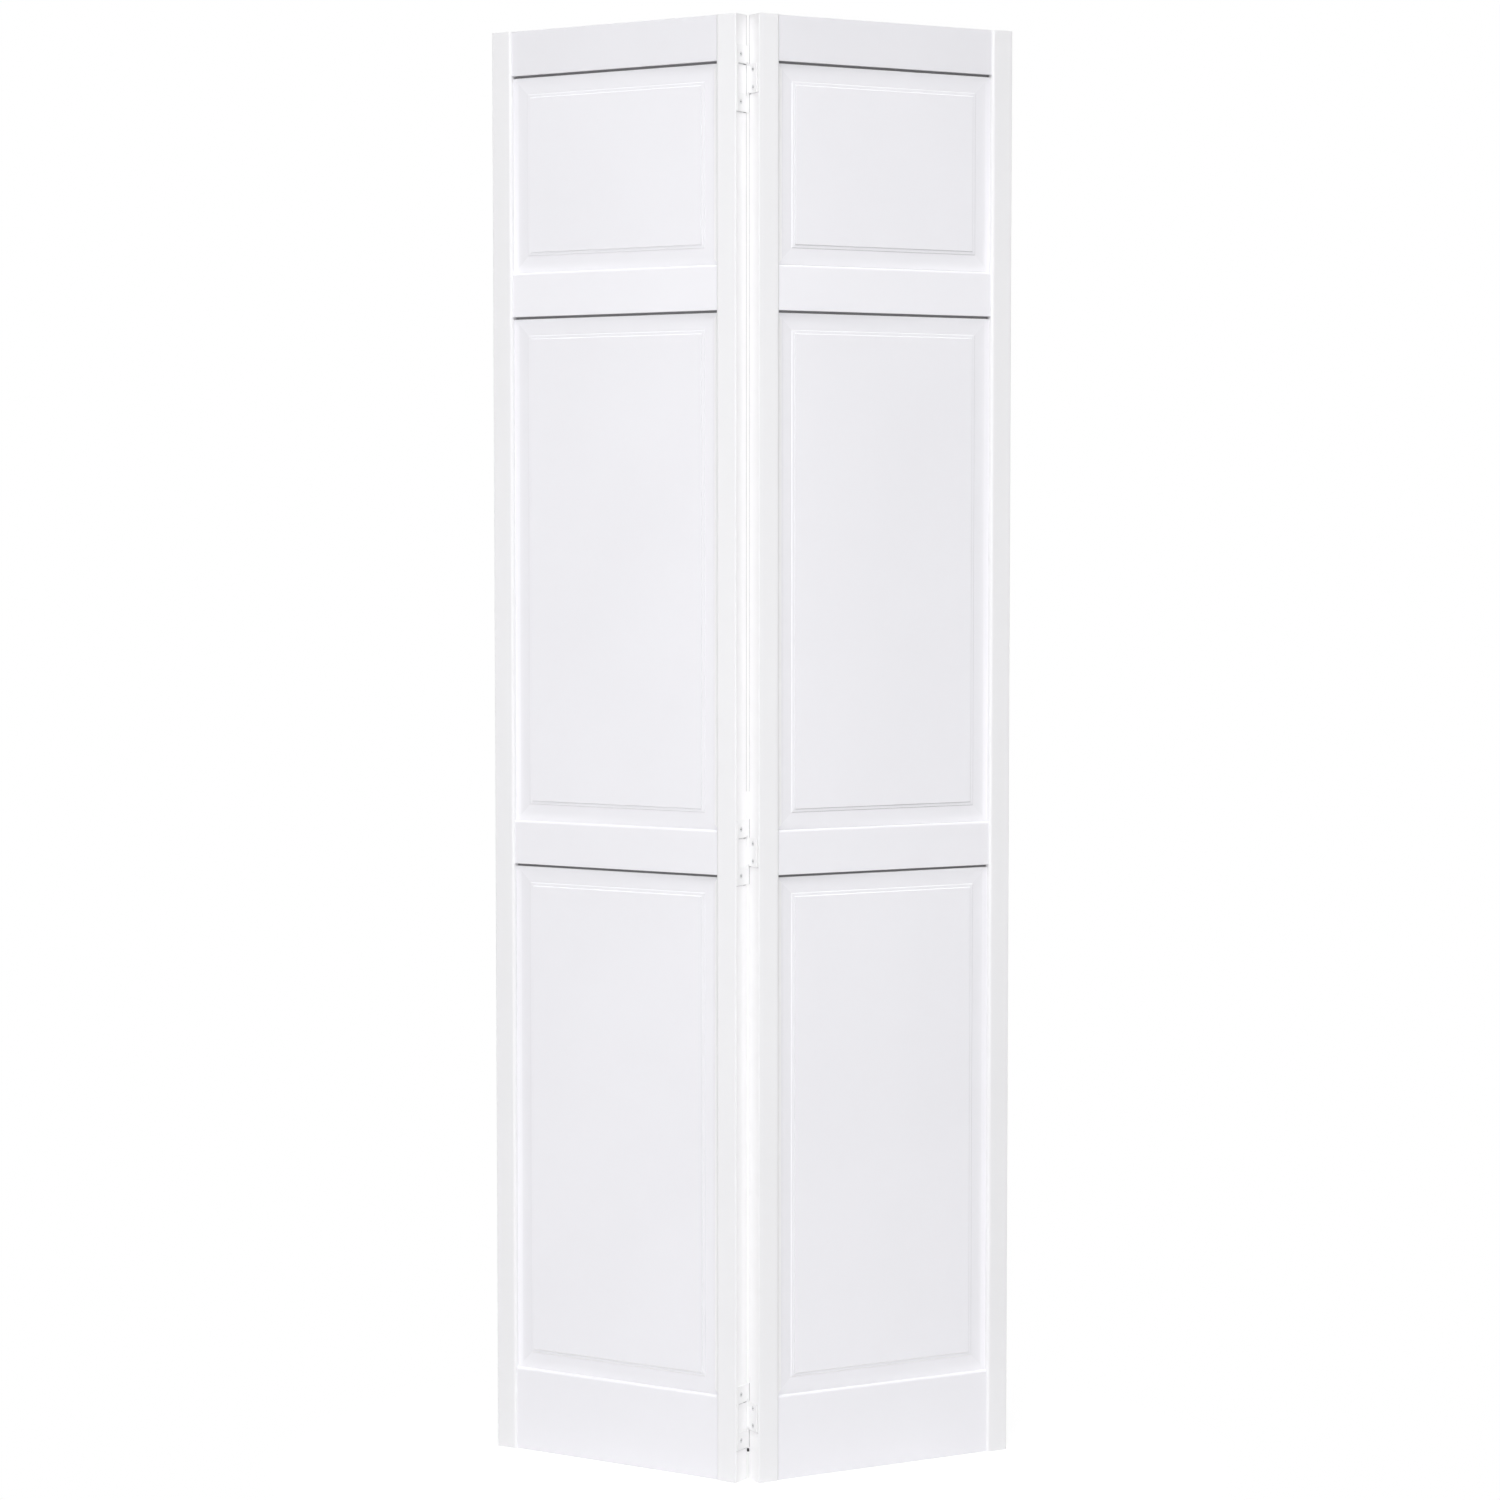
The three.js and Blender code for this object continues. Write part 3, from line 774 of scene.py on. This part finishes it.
def screw_shape():
    """A countersunk cross-head screw, head up along Y, whose top centre is the origin."""
    bm = bmesh.new()
    neck = SCREW_HEAD_RADIUS - SCREW_RADIUS + SCREW_HEAD_EDGE
    profile = [
        (SCREW_HEAD_RADIUS - SCREW_HEAD_EDGE, 0),
        (SCREW_HEAD_RADIUS, -SCREW_HEAD_EDGE),
        (SCREW_RADIUS, -neck),
        (SCREW_RADIUS, SCREW_TIP_LENGTH - SCREW_LENGTH),
    ]
    turns = [2 * math.pi * i / SCREW_SEGMENTS for i in range(SCREW_SEGMENTS)]
    rings = [
        [bm.verts.new((r * math.cos(t), y, r * math.sin(t))) for t in turns] for r, y in profile
    ]
    bridge(bm, rings)
    tip = bm.verts.new((0, -SCREW_LENGTH, 0))
    for i in range(SCREW_SEGMENTS):
        bm.faces.new((rings[-1][i], rings[-1][(i + 1) % SCREW_SEGMENTS], tip))
    mouth = cross_outline(RECESS_REACH, RECESS_HALF_WIDTH)
    floor = cross_outline(RECESS_FLOOR_REACH, RECESS_FLOOR_HALF_WIDTH)
    top = [bm.verts.new((a, 0, b)) for a, b in mouth]
    bottom = [bm.verts.new((a, -RECESS_DEPTH, b)) for a, b in floor]
    bridge(bm, [top, bottom])
    bm.faces.new(bottom)
    rim = [edge for edge in bm.edges if edge.is_boundary]
    bmesh.ops.triangle_fill(bm, edges=rim, use_beauty=True)
    return bm


# Painted shade on the floor of the driver recess
def recess_soil(co):
    return 1.0 if abs(co.y + RECESS_DEPTH) < EXACT else 0.0


def make_screw(node_name, side, number):
    """Puts a screw where the construction has one, with its head towards the fold."""
    into_leaf = leaf_matrix(side).inverted()
    points = [into_leaf @ vertex.co for vertex in frame["nodes"][node_name].data.vertices]
    centre = Vector([(min(values) + max(values)) / 2 for values in zip(*points)])
    head = Matrix.Translation((centre.x - side * SCREW_LENGTH / 2, centre.y, centre.z))
    aim = Matrix.Rotation(side * math.pi / 2, 4, "Z")
    twist = Matrix.Rotation(number * SCREW_TWIST, 4, "Y")
    matrix = leaf_matrix(side) @ head @ aim @ twist
    obj = finish_mesh(screw_shape(), f"{node_name}_zinc", ZINC_PLATE, matrix, soil=recess_soil)
    stands_for(obj, body_of_side(side), "screw", node_name)


# Door


def make_leaf(side):
    for kind in ("fold", "outer"):
        make_stile(side, kind)
    for kind in RAIL_TONES:
        make_rail(side, kind)
    for kind in PANELS:
        make_panel(side, kind)


def make_hinges():
    number = 0
    for level in HINGE_LEVELS:
        for kind, side in (("frame", -1), ("inset", 1)):
            plate = f"{level}_hinge_{kind}_plate"
            make_coated(plate, "hinge_plate", body_of_side(side), PLATE_EASE)
            for end in ("upper", "lower"):
                number += 1
                make_screw(f"{level}_hinge_{kind}_screw_{end}", side, number)
        make_pin(level)


def finish_dowels():
    for name, node in frame["nodes"].items():
        if "dowel" in name:
            node.data.materials.clear()
            node.data.materials.append(DOWEL_WOOD)


def build_object():
    for side in (-1, 1):
        make_leaf(side)
    make_hinges()
    finish_dowels()


# Studio

WHITE = (1, 1, 1, 1)
FLOOR_SIZE = 40
FLOOR_DROP = 0.1 * MM                  # keeps the floor clear of the door's underside
FLOOR_COLOR = (0.8, 0.8, 0.8, 1)       # for light that the floor sends back
FLOOR_LIT = (0.42, 0.42, 0.42, 1)      # for the camera, beside the glow that makes it pale
FLOOR_GLOW = 0.70
SHADOW_REACH = (0.25, 0.70)            # the lit floor fades to white between these distances
AMBIENT = 0.10
LAMP_TARGET = Vector((0, 0, 1.0))
LAMPS = {                              # place, width and height, watts
    "near_front_bank": ((0, -3.2, 1.3), (2.6, 1.6), 27),
    "left_softbox": ((-2.4, -4.0, 1.8), (2.4, 3.0), 12),
    "overhead_bank": ((0, -2.8, 4.4), (3.0, 2.0), 46),
    "rear_bank": ((0, 3.4, 1.5), (2.6, 2.0), 42),
}
SKYLIGHT_STRENGTH = 1.7
SKYLIGHT_ELEVATION = math.radians(65)
SKYLIGHT_SPREAD = math.radians(50)

# Camera: solved from the leaf edges and corners in the photograph
SENSOR_WIDTH = 36
CAMERA_LENS = 88.11
CAMERA_DISTANCE = 4.9907
CAMERA_AZIMUTH = math.radians(1.659)
CAMERA_ASIDE = 0.0027
CAMERA_HEIGHT = 1.3142
CAMERA_TILT = math.radians(3.529)


def shader(tree, kind, **values):
    """The output of a new shader node with these values on its sockets."""
    node = tree.nodes.new(kind)
    for socket, value in values.items():
        node.inputs[socket].default_value = value
    return node.outputs[0]


def blended(tree, factor, first, second):
    """The first shader where the factor is 0, and the second where it is 1."""
    node = tree.nodes.new("ShaderNodeMixShader")
    for socket, out in enumerate((factor, first, second)):
        tree.links.new(out, node.inputs[socket])
    return node.outputs[0]


def background_rays(tree):
    """1 for rays that show the background: from the camera, in gloss and through glass."""
    path = tree.nodes.new("ShaderNodeLightPath")
    total = path.outputs["Is Camera Ray"]
    for name in ("Is Glossy Ray", "Is Transmission Ray"):
        add = tree.nodes.new("ShaderNodeMath")
        add.operation = "MAXIMUM"
        tree.links.new(total, add.inputs[0])
        tree.links.new(path.outputs[name], add.inputs[1])
        total = add.outputs[0]
    return total


def away_from_door(tree):
    """0 round the door's foot, and 1 beyond its shadow."""
    place = tree.nodes.new("ShaderNodeTexCoord")
    distance = tree.nodes.new("ShaderNodeVectorMath")
    distance.operation = "LENGTH"
    tree.links.new(place.outputs["Object"], distance.inputs[0])
    away = tree.nodes.new("ShaderNodeMapRange")
    away.interpolation_type = "SMOOTHSTEP"
    away.inputs["From Min"].default_value, away.inputs["From Max"].default_value = SHADOW_REACH
    tree.links.new(distance.outputs["Value"], away.inputs["Value"])
    return away.outputs["Result"]


def floor_material():
    """A plain pale floor, which shows as white but for the door's shadow."""
    material = bpy.data.materials.new("pale_floor")
    material.use_nodes = True
    tree = material.node_tree
    tree.nodes.remove(tree.nodes["Principled BSDF"])
    plain = shader(tree, "ShaderNodeBsdfDiffuse", Color=FLOOR_COLOR)
    shadowed = tree.nodes.new("ShaderNodeAddShader")
    tree.links.new(shader(tree, "ShaderNodeBsdfDiffuse", Color=FLOOR_LIT), shadowed.inputs[0])
    tree.links.new(shader(tree, "ShaderNodeEmission", Strength=FLOOR_GLOW), shadowed.inputs[1])
    white = shader(tree, "ShaderNodeEmission", Color=WHITE)
    seen = blended(tree, away_from_door(tree), shadowed.outputs[0], white)
    surface = blended(tree, background_rays(tree), plain, seen)
    tree.links.new(surface, tree.nodes["Material Output"].inputs["Surface"])
    return material


def make_floor():
    half = FLOOR_SIZE / 2
    corners = [(x * half, y * half, -FLOOR_DROP) for x, y in ((-1, -1), (1, -1), (1, 1), (-1, 1))]
    mesh = bpy.data.meshes.new("studio_floor")
    mesh.from_pydata(corners, [], [(0, 1, 2, 3)])
    mesh.materials.append(floor_material())
    add_object("studio_floor", mesh)


def make_world():
    world = bpy.data.worlds.new("studio_world")
    bpy.context.scene.world = world
    world.use_nodes = True
    tree = world.node_tree
    ambient = tree.nodes["Background"]
    ambient.inputs["Color"].default_value = WHITE
    ambient.inputs["Strength"].default_value = AMBIENT
    white = shader(tree, "ShaderNodeBackground", Color=WHITE)
    surface = blended(tree, background_rays(tree), ambient.outputs[0], white)
    tree.links.new(surface, tree.nodes["World Output"].inputs["Surface"])


def make_lamp(name, place, size, power):
    """A soft rectangular lamp that is aimed at the door and that the camera doesn't see."""
    lamp = bpy.data.lights.new(name, "AREA")
    lamp.shape = "RECTANGLE"
    lamp.size, lamp.size_y = size
    lamp.energy = power
    obj = add_object(name, lamp)
    obj.location = place
    obj.rotation_euler = (LAMP_TARGET - Vector(place)).to_track_quat("-Z", "Y").to_euler()
    obj.visible_camera = False


def make_skylight():
    """A wide soft light from high in front, which brings out the edges that face up."""
    lamp = bpy.data.lights.new("skylight", "SUN")
    lamp.energy = SKYLIGHT_STRENGTH
    lamp.angle = SKYLIGHT_SPREAD
    obj = add_object("skylight", lamp)
    obj.rotation_euler = (math.pi / 2 - SKYLIGHT_ELEVATION, 0, 0)


def make_camera():
    data = bpy.data.cameras.new("camera")
    data.sensor_width = SENSOR_WIDTH
    data.lens = CAMERA_LENS
    camera = add_object("camera", data)
    aside = Vector((math.cos(CAMERA_AZIMUTH), math.sin(CAMERA_AZIMUTH), 0)) * CAMERA_ASIDE
    away = Vector((math.sin(CAMERA_AZIMUTH), -math.cos(CAMERA_AZIMUTH), 0)) * CAMERA_DISTANCE
    camera.location = Vector((PIN.x, PIN.y, CAMERA_HEIGHT)) + away + aside
    camera.rotation_euler = (math.pi / 2 - CAMERA_TILT, 0, CAMERA_AZIMUTH)
    bpy.context.scene.camera = camera


def build_studio():
    bpy.context.scene.view_settings.view_transform = "Standard"
    make_floor()
    make_world()
    for name, (place, size, power) in LAMPS.items():
        make_lamp(name, place, size, power)
    make_skylight()
    make_camera()


build_object()
build_studio()
